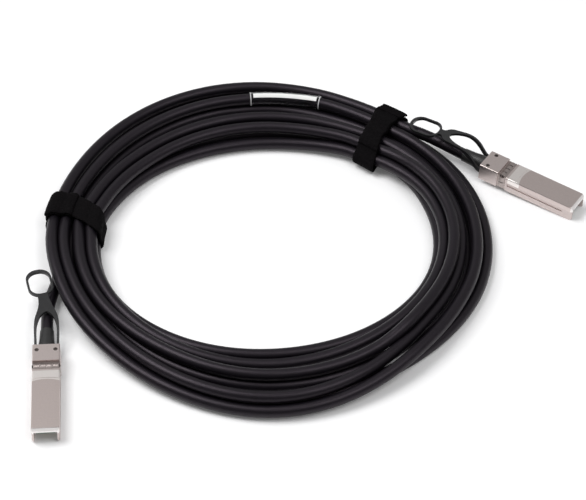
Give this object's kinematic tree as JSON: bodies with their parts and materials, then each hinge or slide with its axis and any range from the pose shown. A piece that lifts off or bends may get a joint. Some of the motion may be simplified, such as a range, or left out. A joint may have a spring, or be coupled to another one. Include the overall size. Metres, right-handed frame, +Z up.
{
  "type": "direct attach copper cable",
  "caption": "Coiled black direct attach copper cable with a metal pluggable end and pull tab at each lead, held by hook-and-loop straps.",
  "frame": {"origin": "centre of the whole part's bounding box, on the surface that it lies on", "axes": "+Z up out of the coil's plane, +X towards the right-hand plug end, +Y away from the near side of the coil"},
  "size_m": [0.2872, 0.258, 0.0179],
  "materials": {
    "die_cast": "nickel-plated die casting, satin",
    "spring_sheet": "bright stamped sheet",
    "stamped_steel": "stamped, satin",
    "tab_plastic": "moulded, soft satin",
    "board": "solder mask",
    "gold": "gold plated",
    "wire_insulation": "foil wrapped pairs",
    "boot_rubber": "moulded, matte",
    "cable_sheath": "extruded, satin",
    "strap_fabric": "hook and loop, fuzzy",
    "clear_sleeve": "clear heat-shrink",
    "white_label": "plain white film"
  },
  "bodies": {
    "root": {"lower_housing_a": "die_cast", "top_cover_a": "die_cast", "emi_spring_a": "spring_sheet", "slider_spring_a": "stamped_steel", "paddle_card_a": "board", "card_contacts_a": "gold", "wire_pairs_a": "wire_insulation", "cable_ferrule_a": "stamped_steel", "cover_screws_a": "stamped_steel", "strain_relief_a": "boot_rubber", "sheath_end_a": "cable_sheath", "lower_housing_b": "die_cast", "top_cover_b": "die_cast", "emi_spring_b": "spring_sheet", "slider_spring_b": "stamped_steel", "paddle_card_b": "board", "card_contacts_b": "gold", "wire_pairs_b": "wire_insulation", "cable_ferrule_b": "stamped_steel", "cover_screws_b": "stamped_steel", "strain_relief_b": "boot_rubber", "sheath_end_b": "cable_sheath", "cable_coil": "cable_sheath", "cable_lead_a": "cable_sheath", "cable_lead_b": "cable_sheath", "strap_left": "strap_fabric", "strap_right": "strap_fabric", "label_sleeve": "clear_sleeve", "label_strip": "white_label"},
    "latch_a": {"latch_slider_a": "stamped_steel", "pull_tab_a": "tab_plastic"},
    "latch_b": {"latch_slider_b": "stamped_steel", "pull_tab_b": "tab_plastic"}
  },
  "joints": [
    {"name": "latch_slide_a", "type": "slide", "parent": "root", "child": "latch_a", "axis": [-0.061, 0.9981, 0], "range_m": [0, 0.0022], "stiffness_N_per_m": 1200, "springref_m": -0.001, "deforming": ["slider_spring_a"]},
    {"name": "latch_slide_b", "type": "slide", "parent": "root", "child": "latch_b", "axis": [-0.8385, 0.5424, 0.0523], "range_m": [0, 0.0022], "stiffness_N_per_m": 1200, "springref_m": -0.001, "deforming": ["slider_spring_b"]}
  ]
}
